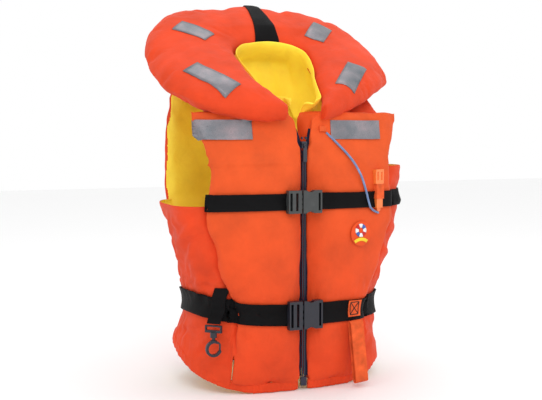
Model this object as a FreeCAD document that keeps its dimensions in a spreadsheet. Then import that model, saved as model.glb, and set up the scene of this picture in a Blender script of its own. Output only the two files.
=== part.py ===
import FreeCAD, Part
import math
import os

# Foam life jacket with a front zip, two buckled belts and a shawl collar.
# Millimetres, +Z up, the front faces -Y, the wearer's right is -X, and the hem stands on z = 0.

doc = FreeCAD.newDocument("LifeJacket")
Vector = FreeCAD.Vector

# ---------------------------------------------------------------- driving dimensions
SIZES = {
    # body widths and depths at named levels
    "ChestHalfWidth": 226,
    "WaistHalfWidth": 190,
    "HemHalfWidth": 207,
    "FrontDepth": 149,
    "BackDepth": 132,
    "FrontTop": 485,
    "BackTop": 606,
    "HemRise": 78,
    # layers
    "FrontFoam": 38,
    "BackFoam": 24,
    "CoverCloth": 1.5,
    "GussetCloth": 4,
    "LayerGap": 0.3,
    "FoamClearance": 2,
    "SeamGap": 1,
    "HemBand": 13,
    # zip
    "ZipPlane": 127,
    "ZipTop": 470,
    "ZipClosed": 441,
    "ZipBottom": 6,
    "ZipGroove": 7,
    "TapeWidth": 13,
    # belts
    "ChestBeltLevel": 342,
    "WaistBeltLevel": 141,
    "ChestWebbing": 30,
    "WaistWebbing": 40,
    "WebbingThick": 2,
    # buckles
    "ChestBuckleX": -15,
    "WaistBuckleX": -11,
    "BuckleThick": 12,
    "BuckleWall": 2.5,
    # armholes
    "ArmBottomRight": 336,
    "ArmBottomLeft": 402,
    # collar
    "CollarHalfWidth": 242,
    "CollarLength": 377,
    "CollarThick": 50,
    "CollarTilt": 34,
    "CollarFrontY": -145,
    "CollarFrontZ": 495,
    "NeckHalfWidth": 82,
    "NeckLength": 232,
    # loose hardware
    "HookX": -166,
    "HookY": -113,
    "HookWidth": 29,
    "LoopX": 92,
    "LoopWebbing": 25,
    "LoopGap": 9,
    "WhistleX": 139,
    "WhistleZ": 326,
    "WhistleLength": 70,
    "WhistleWidth": 19,
    "WhistleThick": 9,
    "CordDiameter": 4,
    "BadgeX": 101,
    "BadgeZ": 281,
    "BadgeDiameter": 44,
}

sheet = doc.addObject("Spreadsheet::Sheet", "Sizes")
for row, (word, value) in enumerate(SIZES.items(), start=1):
    sheet.set(f"A{row}", word)
    sheet.set(f"B{row}", str(value))
    sheet.setAlias(f"B{row}", word)
doc.recompute()


def size(word):
    """The value of one named cell of the sheet."""
    return float(getattr(sheet, word))


subparts = []


def keep(obj, label):
    """Marks a document object as a sub-part, whose label names its file."""
    obj.Label = label
    subparts.append(obj)
    return obj


def keep_shape(shape, label):
    """A sub-part whose shape is worked out here from the sheet's sizes."""
    obj = doc.addObject("Part::Feature", label)
    obj.Shape = shape
    obj.Placement = FreeCAD.Placement()
    return keep(obj, label)


# ---------------------------------------------------------------- curves through named levels
def smooth(x):
    """0 below 0, 1 above 1, and an even S between."""
    x = min(1.0, max(0.0, x))
    return x * x * (3 - 2 * x)


def through(levels, z):
    """A smooth curve through (height, value) pairs, flat beyond the ends."""
    if z <= levels[0][0]:
        return levels[0][1]
    for (z0, v0), (z1, v1) in zip(levels, levels[1:]):
        if z <= z1:
            return v0 + (v1 - v0) * smooth((z - z0) / (z1 - z0))
    return levels[-1][1]


def half_width(z):
    waist = size("WaistBeltLevel")
    chest = size("ChestBeltLevel")
    chest_width = size("ChestHalfWidth")
    return through(
        [
            (0, size("HemHalfWidth")),
            (waist, size("WaistHalfWidth")),
            (chest - 10, chest_width),
            (chest + 80, chest_width),
            (size("BackTop"), chest_width - 30),
        ],
        z,
    )


def front_depth(z):
    front = size("FrontDepth")
    waist = size("WaistBeltLevel")
    chest = size("ChestBeltLevel")
    return through(
        [
            (0, front - 21),
            (waist - 40, front - 7),
            (waist, front - 11),
            (waist + 45, front - 2),
            (chest - 40, front),
            (chest, front - 4),
            (chest + 35, front - 1),
            (size("FrontTop"), front - 28),
        ],
        z,
    )


def back_depth(z):
    back = size("BackDepth")
    waist = size("WaistBeltLevel")
    return through([(0, back), (waist, back - 4), (waist + 160, back), (size("BackTop"), back - 12)], z)


def widest_y(z):
    """Where the body is widest, front to back, at a height."""
    waist = size("WaistBeltLevel")
    return through([(60, 22), (waist, -10), (waist + 110, -44), (size("ChestBeltLevel"), -60)], z)


def back_squareness(z):
    """The back is rounded below the armholes and boxy between them."""
    low = size("ArmBottomRight")
    return through([(low - 60, 2.1), (low + 30, 4.0)], z)


FRONT_SQUARENESS = 2.6


def valley(x):
    """The groove between the two foam fronts, where the zip lies."""
    edge = size("ZipGroove")
    return math.exp(-((max(0.0, abs(x) - edge) / 17) ** 1.5))


def body_point(angle, z, depth, grooved=True):
    """A point of the jacket's wall: angle in degrees from the front centre, turning to the wearer's left,
    and depth from the outer face inwards. A belt bridges the groove at the zip, so it isn't grooved."""
    a = math.radians(angle)
    wide = half_width(z) - depth
    centre = widest_y(z)
    sine = abs(math.sin(a))
    cosine = math.cos(a)
    if cosine >= 0:
        reach = front_depth(z) + centre - depth
        power = FRONT_SQUARENESS
    else:
        reach = back_depth(z) - centre - depth
        power = back_squareness(z)
    radius = ((sine / wide) ** power + (abs(cosine) / reach) ** power) ** (-1 / power)
    x = radius * math.sin(a)
    y = centre - radius * cosine
    if grooved and cosine > 0 and abs(x) < 80:
        zip_face = -size("ZipPlane") + depth
        y += max(0.0, zip_face - y) * valley(x)
    return Vector(x, y, z)


def angle_at(x, z):
    """The angle at which the front of the wall reaches a given x."""
    low = 0.0
    high = 90.0
    for _ in range(40):
        middle = (low + high) / 2
        if body_point(middle, z, 0).x < abs(x):
            low = middle
        else:
            high = middle
    return math.copysign(low, x)


def hem_level(angle):
    """The hem is cut up over the hips and stands on its front and its back."""
    hip = 110.0
    away = abs(abs(angle) - hip)
    span = 80.0 if abs(angle) < hip else 38.0
    if away >= span:
        return 0.0
    return size("HemRise") * math.cos(math.radians(90 * away / span)) ** 2


# ---------------------------------------------------------------- closed solids from two faces
def clamped(count, degree):
    """Knots and multiplicities of a clamped, evenly spaced spline with that many poles."""
    spans = count - degree
    return list(range(spans + 1)), [degree + 1] + [1] * (spans - 1) + [degree + 1]


def surface(grid):
    """A smooth quadratic surface whose poles are a grid of points."""
    rows, columns = len(grid), len(grid[0])
    row_degree = min(2, rows - 1)
    column_degree = min(2, columns - 1)
    row_knots, row_mults = clamped(rows, row_degree)
    column_knots, column_mults = clamped(columns, column_degree)
    result = Part.BSplineSurface()
    result.buildFromPolesMultsKnots(
        grid, row_mults, column_mults, row_knots, column_knots, False, False, row_degree, column_degree
    )
    return result.toShape()


def closed(faces):
    """A solid from faces that share their borders."""
    shell = Part.makeShell(faces)
    shell.sewShape()
    solid = Part.makeSolid(Part.Shell(shell.Faces))
    if solid.Volume < 0:
        solid.reverse()
    return solid


def between(outer, inner):
    """A closed solid between two grids of points with the same rows and columns."""
    faces = [surface(outer), surface(inner)]
    for row in (0, -1):
        faces.append(surface([outer[row], inner[row]]))
    for column in (0, -1):
        faces.append(surface([[line[column] for line in outer], [line[column] for line in inner]]))
    return closed(faces)


def spread(count, ease=0.0):
    """Shares from 0 to 1, closer together near 0 when ease is above 0."""
    return [(i / (count - 1)) ** (1 + ease) for i in range(count)]


def border(edge, low, high, share):
    """The angle of an edge at a share of its height, where its height depends on its angle."""
    z = low(60) + (high(60) - low(60)) * share
    for _ in range(4):
        z = low(edge(z)) + (high(edge(z)) - low(edge(z))) * share
    return edge(z)


def wall(start, end, low, high, outer, inner, columns=15, rows=29, ease=0.0, grooved=True):
    """A stretch of the jacket's wall. start and end give angles at a height, low and high give heights at
    an angle, and outer and inner give depths at (angle, height)."""
    grids = ([], [])
    for t in spread(rows):
        first = border(start, low, high, t)
        last = border(end, low, high, t)
        lines = ([], [])
        for s in spread(columns, ease):
            angle = first + (last - first) * s
            z = low(angle) + (high(angle) - low(angle)) * t
            lines[0].append(body_point(angle, z, outer(angle, z), grooved))
            lines[1].append(body_point(angle, z, inner(angle, z), grooved))
        grids[0].append(lines[0])
        grids[1].append(lines[1])
    return between(*grids)


def level(value):
    """A height, angle or depth that is the same everywhere."""
    return lambda *place: value


# ---------------------------------------------------------------- where the panels meet
def front_edge(z):
    """The x of the side edge of a front panel: the armhole above, the side seam below."""
    chest = size("ChestHalfWidth")
    waist = size("WaistBeltLevel")
    return through(
        [
            (0, chest - 94),
            (waist, chest - 94),
            (waist + 100, chest - 58),
            (size("ChestBeltLevel") - 30, chest - 40),
            (size("ChestBeltLevel") + 60, chest - 44),
            (size("ChestBeltLevel") + 90, chest - 40),
            (size("FrontTop") - 12, chest - 25),
        ],
        z,
    )


def back_edge(z):
    """The angle at which the back panel begins."""
    low = size("ArmBottomRight")
    return through([(low - 120, 118), (low + 20, 128)], z)


def zip_edge(z):
    """The x of a front panel's edge beside the zip, which opens into the neck at the top."""
    top = size("ZipTop")
    return size("ZipGroove") + 9 * smooth((z - size("ZipClosed")) / (top - size("ZipClosed")))


def front_high(angle):
    """The top of a front panel: low at the zip, higher towards the shoulder."""
    return size("ZipTop") + (size("FrontTop") - size("ZipTop")) * smooth((abs(angle) - 8) / 22)


def side_angle(side, z, inset=0.0):
    return side * (abs(angle_at(front_edge(z), z)) - inset)


def zip_angle(side, z, inset=0.0):
    return side * (abs(angle_at(zip_edge(z), z)) + inset)


def foam_angle(side, z):
    """Foam begins beside the zip tape, which is sewn in behind the cover."""
    return side * abs(angle_at(max(size("TapeWidth"), zip_edge(z) + 7) + 1, z))


def hem_cloth(extra=0.0):
    """The level of the lower edge of the cloth, above the hem band."""
    return lambda angle: hem_level(angle) + size("HemBand") + size("SeamGap") + extra


def wall_depth(angle, z):
    """The depth of the lining: deep behind foam, shallow at the side seams and at the hem."""
    edge = abs(angle_at(front_edge(z), z))
    cloth = size("GussetCloth") + 3
    turn = abs(angle)
    if turn < 90:
        body = size("FrontFoam") * smooth((edge - turn) / 12)
    else:
        body = size("BackFoam") * smooth((turn - back_edge(z)) / 8)
    above_hem = z - hem_level(angle) - size("HemBand")
    return cloth + max(0.0, body - 3) * smooth(above_hem / 34)


def standing(solid):
    """Trims a hem band to the plane it stands on."""
    return solid.cut(Part.makeBox(600, 600, 10, Vector(-300, -300, -10)))


def band_low(angle):
    """The lower edge of a hem band, which is trimmed level where the jacket stands."""
    edge = hem_level(angle if angle <= 180 else 360 - angle)
    return edge - max(0.0, 1 - edge / 2)


gap = size("LayerGap")
cloth = size("CoverCloth")
SIDES = (("right", -1), ("left", 1))

for name, side in SIDES:
    arm_bottom = size("ArmBottomRight") if side < 0 else size("ArmBottomLeft")
    keep_shape(
        wall(
            lambda z: zip_angle(side, z),
            lambda z: side_angle(side, z),
            hem_cloth(),
            front_high,
            level(0),
            level(cloth),
            columns=21,
            ease=0.5,
        ),
        f"front_cover_{name}",
    )
    keep_shape(
        wall(
            lambda z: foam_angle(side, z),
            lambda z: side_angle(side, z, 1.5),
            hem_cloth(6),
            lambda angle: front_high(angle) - 3,
            level(cloth + size("FoamClearance") / 2),
            lambda angle, z: wall_depth(angle, z) - size("FoamClearance"),
            columns=21,
            ease=0.5,
        ),
        f"front_foam_{name}",
    )
    keep_shape(
        wall(
            lambda z: zip_angle(side, z, 0.4),
            lambda z: side_angle(side, z),
            hem_cloth(),
            front_high,
            wall_depth,
            lambda angle, z: wall_depth(angle, z) + 1.0,
            columns=21,
            ease=0.5,
        ),
        f"lining_front_{name}",
    )
    keep_shape(
        wall(
            lambda z: side_angle(side, z, -0.4),
            lambda z: side * (back_edge(z) - 0.4),
            hem_cloth(),
            level(arm_bottom),
            level(0.6),
            level(size("GussetCloth")),
        ),
        f"side_gusset_{name}",
    )
    side_band = wall(
        lambda z: side * 3.4,
        lambda z: side * (back_edge(z) - 0.2),
        band_low,
        lambda angle: hem_level(angle) + size("HemBand"),
        level(0),
        level(size("GussetCloth") + 3),
        columns=31,
        rows=4,
    )
    keep_shape(standing(side_band), f"hem_band_{name}")

# ---------------------------------------------------------------- the back
BACK_TOP_DROP = 46


def back_high(angle):
    """The top of the back panel: high at the neck, lower at the armholes."""
    return size("BackTop") - BACK_TOP_DROP * smooth((180 - abs(angle) - 14) / 40)


def back_wall(outer, inner, low, inset=0.0, top_inset=0.0, rows=29):
    return wall(
        lambda z: back_edge(z) + inset,
        lambda z: 360 - back_edge(z) - inset,
        lambda angle: low(angle if angle <= 180 else 360 - angle),
        lambda angle: back_high(angle if angle <= 180 else 360 - angle) - top_inset,
        outer,
        inner,
        columns=21,
        rows=rows,
    )


def back_depth_at(angle, z):
    return wall_depth(angle if angle <= 180 else 360 - angle, z)


keep_shape(back_wall(level(0), level(cloth), hem_cloth()), "back_cover")
keep_shape(
    back_wall(
        level(cloth + size("FoamClearance")),
        lambda angle, z: back_depth_at(angle, z) - size("FoamClearance"),
        hem_cloth(6),
        1.5,
        3,
    ),
    "back_foam",
)
keep_shape(
    back_wall(back_depth_at, lambda angle, z: back_depth_at(angle, z) + 1.0, hem_cloth()),
    "lining_back",
)
back_band = wall(
    level(back_edge(0)),
    level(360 - back_edge(0)),
    band_low,
    lambda angle: hem_level(angle if angle <= 180 else 360 - angle) + size("HemBand"),
    level(0),
    level(size("GussetCloth") + 3),
    columns=25,
    rows=4,
)
keep_shape(standing(back_band), "hem_band_back")

# ---------------------------------------------------------------- the collar
# The collar is a horseshoe cushion in a plane that rises to the back. across runs along X and along
# runs up the slope from the front edge. lift is the distance above that plane.
TILT = math.radians(size("CollarTilt"))
COLLAR_SQUARENESS = 2.5
LOBE_DROOP = 34


def collar_place(across, along, lift):
    droop_at = 0.6 * size("CollarLength")
    droop = LOBE_DROOP * (abs(across) / size("CollarHalfWidth")) ** 3
    droop *= math.exp(-(((along - droop_at) / 110) ** 2))
    y = size("CollarFrontY") + along * math.cos(TILT) - lift * math.sin(TILT)
    z = size("CollarFrontZ") + along * math.sin(TILT) + lift * math.cos(TILT) - droop
    return Vector(across, y, z)


FRONT_ROUNDNESS = {-1: 3.0, 1: 1.42}


def collar_outline(turn, side=-1):
    """The outer edge, as (across, along), at a turn in degrees from the front centre. The lobes don't lie
    alike: the wearer's left one is drawn in at the front."""
    a = math.radians(turn)
    wide = size("CollarHalfWidth")
    centre = size("CollarLength") / 2
    power = FRONT_ROUNDNESS[side] if math.cos(a) > 0 else 3.0
    radius = ((abs(math.sin(a)) / wide) ** power + (abs(math.cos(a)) / centre) ** power) ** (-1 / power)
    return radius * math.sin(a), centre - 5 - radius * math.cos(a)


NECK_CORNER_ALONG = 195
LOBE_TIP = (23, 12)
LOBE_START = 8.0
LOBE_END = 164.0


def lobe_edges(share, side=-1):
    """Inner and outer edge points of a lobe, from its front tip, 0, to its seam with the back, 1."""
    inner = (
        LOBE_TIP[0] + (size("NeckHalfWidth") - LOBE_TIP[0]) * (1 - abs(1 - share) ** 1.6),
        LOBE_TIP[1] + (NECK_CORNER_ALONG - LOBE_TIP[1]) * share,
    )
    return inner, collar_outline(LOBE_START + (LOBE_END - LOBE_START) * share, side)


def back_edges(share):
    """Inner and outer edge points of the back section, from -1 at one seam to 1 at the other."""
    turn = 90 * share
    inner = (
        size("NeckHalfWidth") * math.sin(math.radians(turn)),
        NECK_CORNER_ALONG + (size("NeckLength") - NECK_CORNER_ALONG) * math.cos(math.radians(turn)),
    )
    outer = collar_outline(180 - (180 - LOBE_END) * abs(share))
    return inner, (math.copysign(outer[0], share) if share else 0.0, outer[1])


def collar_point(edges, side, position, shrink, thick):
    """A point of the cushion's skin. position is an angle around its section: 0 at the outer edge, 90 on
    top, 180 at the neck and 270 underneath."""
    (x0, q0), (x1, q1) = edges
    length = math.hypot(x1 - x0, q1 - q0)
    a = math.radians(position)
    power = 2 / COLLAR_SQUARENESS
    run = math.copysign(abs(math.cos(a)) ** power, math.cos(a))
    rise = math.copysign(abs(math.sin(a)) ** power, math.sin(a))
    middle_x = (x0 + x1) / 2
    middle_q = (q0 + q1) / 2
    half = length / 2 - shrink
    step = run * half / length
    return collar_place(
        side * (middle_x + (x1 - x0) * step),
        middle_q + (q1 - q0) * step,
        rise * (thick / 2 - shrink),
    )


def halves(sections):
    """The upper and the under face's grid for section outlines, each a function of the position around it."""
    return [
        [[section(turn * 180 * i / 12) for i in range(13)] for section in sections] for turn in (1, -1)
    ]


def cushion(sections):
    """A closed solid from section outlines."""
    top, under = halves(sections)
    return closed([surface(top), surface(under), surface([top[0], under[0]]), surface([top[-1], under[-1]])])


def sleeve(outer, inner, tipped):
    """A cushion's cloth: it is open at its last section, and closed at its first one if it is tipped."""
    outside = halves(outer)
    inside = halves(inner)
    faces = []
    for out, within in zip(outside, inside):
        faces += [surface(out), surface(within), surface([out[-1], within[-1]])]
        if not tipped:
            faces.append(surface([out[0], within[0]]))
    if tipped:
        faces += [surface([top[0], under[0]]) for top, under in (outside, inside)]
    return closed(faces)


def lobe_thick(share):
    return size("CollarThick") * (0.62 + 0.38 * smooth(share / 0.2))


def lobe(side, shrink, first, last, stations=11):
    """The sections of a lobe, drawn in from its outer face, between two shares along it."""

    def section(share):
        edges = lobe_edges(share, side)
        return lambda position: collar_point(edges, side, position, shrink, lobe_thick(share))

    return [section(first + (last - first) * i / (stations - 1)) for i in range(stations)]


def back_section(shrink, reach, stations=7):
    def section(share):
        edges = back_edges(share)
        return lambda position: collar_point(edges, 1, position, shrink, size("CollarThick"))

    return [section(-reach + 2 * reach * i / (stations - 1)) for i in range(stations)]


SEAM = 0.99
COLLAR_CLEAR = 2.2
FOAM_END = 0.94
BACK_SEAM = 0.9
for name, side in SIDES:
    keep_shape(
        sleeve(lobe(side, 0, 0, SEAM), lobe(side, cloth, 0.02, SEAM), True),
        f"collar_cover_{name}",
    )
    keep_shape(cushion(lobe(side, cloth + COLLAR_CLEAR, 0.04, FOAM_END)), f"collar_foam_{name}")
keep_shape(sleeve(back_section(0, BACK_SEAM), back_section(cloth, BACK_SEAM), False), "collar_cover_back")
keep_shape(cushion(back_section(cloth + COLLAR_CLEAR, BACK_SEAM - 0.04)), "collar_foam_back")

# ---------------------------------------------------------------- shoulder yokes and neck lining
YOKE_INNER = 100
YOKE_OUTER = 172
YOKE_THICK = 6
UNDER_COLLAR = 3.0


def under_collar(across, along, lower):
    return collar_place(across, along, -size("CollarThick") / 2 - UNDER_COLLAR - lower)


for name, side in SIDES:
    upper = []
    lower = []
    for i in range(7):
        along = 50 + 235 * i / 6
        columns = [YOKE_INNER + (YOKE_OUTER - YOKE_INNER) * j / 4 for j in range(5)]
        upper.append([under_collar(side * x, along, 0) for x in columns])
        lower.append([under_collar(side * x, along, YOKE_THICK) for x in columns])
    keep_shape(between(upper, lower), f"shoulder_yoke_{name}")


def neck_rim(share):
    """(across, along) of the inner rim of the collar, from the wearer's right tip, -1, to the left, 1."""
    lobe_share = 1 - (abs(share) - 0.25) / 0.75
    if abs(share) > 0.25:
        return math.copysign(lobe_edges(lobe_share)[0][0], share), lobe_edges(lobe_share)[0][1]
    return back_edges(share / 0.25)[0]


def neck_row(drop, inset):
    row = []
    for i in range(33):
        share = -0.8 + 1.6 * i / 32
        across, along = neck_rim(share)
        spread_out = 1 - inset / 90
        point = collar_place(across * spread_out, NECK_MIDDLE + (along - NECK_MIDDLE) * spread_out, 0)
        row.append(Vector(point.x, point.y, point.z + drop))
    return row


NECK_MIDDLE = 130
NECK_INSET = 7.0
NECK_DROPS = (6, -14, -34, -44)
keep_shape(
    between(
        [neck_row(drop, NECK_INSET) for drop in NECK_DROPS],
        [neck_row(drop, NECK_INSET + 1.6) for drop in NECK_DROPS],
    ),
    "neck_lining",
)


# ---------------------------------------------------------------- patches and strap on the collar
def patch_on_collar(edges_at, side, first, last, near, far, lift, thick, columns=7, rows=5):
    """A thin patch on the collar's upper face, between two shares along it and two positions across it."""
    grids = ([], [])
    for i in range(columns):
        share = first + (last - first) * i / (columns - 1)
        edges = edges_at(share, side) if edges_at is lobe_edges else edges_at(share)
        full = lobe_thick(share) if edges_at is lobe_edges else size("CollarThick")
        lines = ([], [])
        for j in range(rows):
            position = near + (far - near) * j / (rows - 1)
            lines[0].append(collar_point(edges, side, position, -lift - thick, full))
            lines[1].append(collar_point(edges, side, position, -lift, full))
        grids[0].append(lines[0])
        grids[1].append(lines[1])
    return between(*grids)


PATCH_LIFT = 1.0
PATCH_THICK = 0.7
front_patches = [patch_on_collar(lobe_edges, side, 0.24, 0.42, 72, 100, PATCH_LIFT, PATCH_THICK)
                 for _, side in SIDES]
upper_patches = [patch_on_collar(lobe_edges, side, 0.78, 0.90, 62, 84, PATCH_LIFT, PATCH_THICK)
                 for _, side in SIDES]
keep_shape(Part.makeCompound(front_patches), "reflectors_collar_front")
keep_shape(Part.makeCompound(upper_patches), "reflectors_collar_upper")
keep_shape(
    patch_on_collar(back_edges, 1, -0.2, 0.2, 20, 176, 0.6, 1.8, columns=7, rows=15),
    "collar_strap",
)


# ---------------------------------------------------------------- flat things that follow the wall
def band(start, end, low, high, lift, thick, columns=13, rows=5):
    """A thin band on the wall between two angles and two heights."""
    return wall(
        start,
        end,
        level(low),
        level(high),
        level(-lift - thick),
        level(-lift),
        columns=columns,
        rows=rows,
        grooved=False,
    )


def x_angle(x):
    return lambda z: angle_at(x, z)


PATCH_SPANS = ((-196, -97), (50, 151))
PATCH_LOW = 449
PATCH_HIGH = 484
chest_patches = [
    band(x_angle(first), x_angle(last), PATCH_LOW, PATCH_HIGH, PATCH_LIFT, PATCH_THICK)
    for first, last in PATCH_SPANS
]
keep_shape(Part.makeCompound(chest_patches), "reflectors_chest")


def wall_frame(x, z, lift):
    """A placement on the front of the wall, lifted off it, whose -Y points straight out."""
    here = body_point(angle_at(x, z), z, 0, False)
    there = body_point(angle_at(x, z) + 1, z, 0, False)
    yaw = math.degrees(math.atan2(there.y - here.y, there.x - here.x))
    turn = FreeCAD.Rotation(Vector(0, 0, 1), yaw)
    return FreeCAD.Placement(here + turn.multVec(Vector(0, -lift, 0)), turn)


# ---------------------------------------------------------------- belts
BELT_LIFT = 1.2
CHEST_BACK_END = 226
BELT_END = 17


HIP_RISE = 18


def hip_rise(angle):
    """How far the waist belt has ridden up at the wearer's right hip."""
    turn = angle if angle < 180 else angle - 360
    return HIP_RISE * math.exp(-(((turn + 85) / 40) ** 2))


def belt(start, end, centre, webbing, rise=level(0)):
    """A belt on the wall, between two angles that are given at a height."""
    return wall(
        start,
        end,
        lambda angle: centre - webbing / 2 + rise(angle),
        lambda angle: centre + webbing / 2 + rise(angle),
        level(-BELT_LIFT - size("WebbingThick")),
        level(-BELT_LIFT),
        columns=33,
        rows=5,
        grooved=False,
    )


chest = size("ChestBeltLevel")
waist = size("WaistBeltLevel")
chest_web = size("ChestWebbing")
waist_web = size("WaistWebbing")
keep_shape(
    belt(
        lambda z: side_angle(-1, z, 1.0),
        x_angle(size("ChestBuckleX") - BELT_END),
        chest,
        chest_web,
    ),
    "chest_belt_right",
)
keep_shape(
    belt(x_angle(size("ChestBuckleX") + BELT_END), level(CHEST_BACK_END), chest, chest_web),
    "chest_belt_left",
)
keep_shape(
    belt(level(-178), x_angle(size("WaistBuckleX") - BELT_END), waist, waist_web, hip_rise),
    "waist_belt_right",
)
keep_shape(
    belt(x_angle(size("WaistBuckleX") + BELT_END), level(178), waist, waist_web),
    "waist_belt_left",
)


# ---------------------------------------------------------------- primitives bound to the sheet
def bind(obj, **expressions):
    for prop, expression in expressions.items():
        obj.setExpression(prop.replace("_", "."), expression)
    return obj


def at(obj, x, y, z):
    """Binds the place of a primitive's own corner or centre."""
    obj.setExpression("Placement.Base.x", x)
    obj.setExpression("Placement.Base.y", y)
    obj.setExpression("Placement.Base.z", z)
    return obj


def block(name, length, width, height, x, y, z):
    """A box centred on x and z, reaching from y towards -Y by its width."""
    box = doc.addObject("Part::Box", name)
    bind(box, Length=length, Width=width, Height=height)
    return at(box, f"({x}) - ({length}) / 2", f"({y}) - ({width})", f"({z}) - ({height}) / 2")


def rod(name, radius, height, x, y, z, axis=(0, 0, 1)):
    """A cylinder that starts at x, y, z and runs along an axis."""
    cylinder = doc.addObject("Part::Cylinder", name)
    bind(cylinder, Radius=radius, Height=height)
    cylinder.Placement = FreeCAD.Placement(
        Vector(), FreeCAD.Rotation(Vector(0, 0, 1), Vector(*axis))
    )
    return at(cylinder, x, y, z)


def fuse(name, *shapes):
    obj = doc.addObject("Part::MultiFuse", name)
    obj.Shapes = list(shapes)
    return obj


def cut(name, base, *tools):
    obj = doc.addObject("Part::Cut", name)
    obj.Base = base
    obj.Tool = tools[0] if len(tools) == 1 else fuse(name + "_tools", *tools)
    return obj


def outline_pad(name, points, thick, x, y, z):
    """A body padded from an outline in its own XZ plane, thick towards -Y."""
    body = doc.addObject("PartDesign::Body", name)
    sketch = body.newObject("Sketcher::SketchObject", name + "_outline")
    plane = [f for f in body.Origin.OriginFeatures if f.Role == "XZ_Plane"][0]
    sketch.AttachmentSupport = (plane, "")
    sketch.MapMode = "FlatFace"
    corners = [Vector(px, pz, 0) for px, pz in points]
    for a, b in zip(corners, corners[1:] + corners[:1]):
        sketch.addGeometry(Part.LineSegment(a, b), False)
    pad = body.newObject("PartDesign::Pad", name + "_pad")
    pad.Profile = sketch
    pad.setExpression("Length", thick)
    body.setExpression("Placement.Base.x", x)
    body.setExpression("Placement.Base.y", y)
    body.setExpression("Placement.Base.z", z)
    return body


# ---------------------------------------------------------------- side-release buckles
ARM_GAP = 0.8


def buckle(prefix, x, centre, webbing, back):
    """Male frame, two latch arms and a female housing. x, centre, webbing and back are expressions."""
    tall = f"({webbing} + 10)"
    thick = "Sizes.BuckleThick"
    wall_thick = "Sizes.BuckleWall"
    housing = block(prefix + "_shell", "36", thick, tall, f"{x} + 17", back, centre)
    cavity = block(
        prefix + "_cavity",
        "28",
        f"{thick} - 2 * {wall_thick}",
        f"{webbing} - 1",
        f"{x} + 12",
        f"{back} - {wall_thick}",
        centre,
    )
    windows = block(
        prefix + "_windows",
        "13.4",
        f"{thick} - 2 * {wall_thick}",
        f"{tall} + 2",
        f"{x} + 11.3",
        f"{back} - {wall_thick}",
        centre,
    )
    slot = block(prefix + "_slot", "4", f"{thick} + 2", f"{webbing} + 1", f"{x} + 30", f"{back} + 1", centre)
    waists = [
        rod(prefix + "_waist" + word, "11", f"{thick} + 2", f"{x} + 13", f"{back} + 1",
            f"{centre} {sign} ({tall} / 2 + 8)", axis=(0, -1, 0))
        for word, sign in (("_top", "+"), ("_low", "-"))
    ]
    female = cut(prefix + "_female", housing, cavity, windows, slot, *waists)
    keep(female, prefix + "_female")

    plate_thick = f"({thick} - 2 * {wall_thick} - 1)"
    plate_back = f"{back} - {wall_thick} - 0.5"
    frame = block(prefix + "_frame", "25", thick, tall, f"{x} - 16.5", back, centre)
    tongue = block(prefix + "_tongue", "22", plate_thick, "4", f"{x} + 6", plate_back, centre)
    slots = [
        block(prefix + "_ladder" + word, "4.5", f"{thick} + 2", f"{webbing} + 1", f"{x} - {place}",
              f"{back} + 1", centre)
        for word, place in (("_outer", "24"), ("_inner", "13"))
    ]
    male = cut(prefix + "_male", fuse(prefix + "_male_blank", frame, tongue), *slots)
    keep(male, prefix + "_male")

    half = (size(webbing.split(".")[1]) - 1) / 2
    root = 0.45 * half
    tip = half + 3.2
    profile = [
        (0, root),
        (22, root - 1.0),
        (18, tip - 1.5),
        (15, tip),
        (9.0, tip),
        (8.6, half - 2.0),
        (0, half - 2.6),
    ]
    for word, sign in (("upper", 1), ("lower", -1)):
        arm = outline_pad(
            f"{prefix}_arm_{word}",
            [(px, sign * pz) for px, pz in profile],
            plate_thick,
            f"{x} - 4 + {ARM_GAP}",
            plate_back,
            centre,
        )
        keep(arm, f"{prefix}_arm_{word}")


def buckle_back(level_word):
    """The y of a buckle's back face, just in front of the webbing."""
    centre = size(level_word)
    half = size(level_word.replace("BeltLevel", "Webbing")) / 2
    deepest = max(front_depth(centre - half), front_depth(centre), front_depth(centre + half))
    return -(deepest + BELT_LIFT + size("WebbingThick") + gap)


sheet.set("D1", "ChestBuckleBack")
sheet.set("E1", str(round(buckle_back("ChestBeltLevel"), 3)))
sheet.setAlias("E1", "ChestBuckleBack")
sheet.set("D2", "WaistBuckleBack")
sheet.set("E2", str(round(buckle_back("WaistBeltLevel"), 3)))
sheet.setAlias("E2", "WaistBuckleBack")
for place in ("Chest", "Waist"):
    own = f"Sizes.{place}"
    buckle(f"{place.lower()}_buckle", f"{own}BuckleX", f"{own}BeltLevel", f"{own}Webbing", f"{own}BuckleBack")

# ---------------------------------------------------------------- zip
TAPE_THICK = 0.8
CHAIN_WIDE = 2.2
CHAIN_DEEP = 2.4
CHAIN_SPLIT = 1.0
zip_top = size("ZipTop")
zip_closed = size("ZipClosed")
zip_bottom = size("ZipBottom") + 18


def tape_edge(side, width, z):
    """The angle of a zip tape's edge. The two tapes part above the closed slider."""
    parted = 9 * smooth((z - zip_closed) / (zip_top - zip_closed))
    return angle_at(side * (width + parted), z)


for name, side in SIDES:
    # the tape lies behind the front cover, beside the foam
    keep_shape(
        wall(
            lambda z: tape_edge(side, CHAIN_SPLIT + CHAIN_WIDE + 0.2, z),
            lambda z: tape_edge(side, size("TapeWidth"), z),
            level(zip_bottom),
            level(zip_top),
            level(cloth + 2 * gap),
            level(cloth + 2 * gap + TAPE_THICK),
            columns=9,
        ),
        f"zip_tape_{name}",
    )
for name, sign in (("right", "-"), ("left", "+")):
    chain = block(
        f"zip_chain_{name}",
        str(CHAIN_WIDE),
        str(CHAIN_DEEP),
        "Sizes.ZipClosed - Sizes.ZipBottom - 28",
        f"{sign} {CHAIN_SPLIT + CHAIN_WIDE / 2 - 0.05}",
        f"-Sizes.ZipPlane + {CHAIN_DEEP / 2}",
        "(Sizes.ZipClosed + Sizes.ZipBottom + 8) / 2",
    )
    keep(chain, f"zip_chain_{name}")

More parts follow.
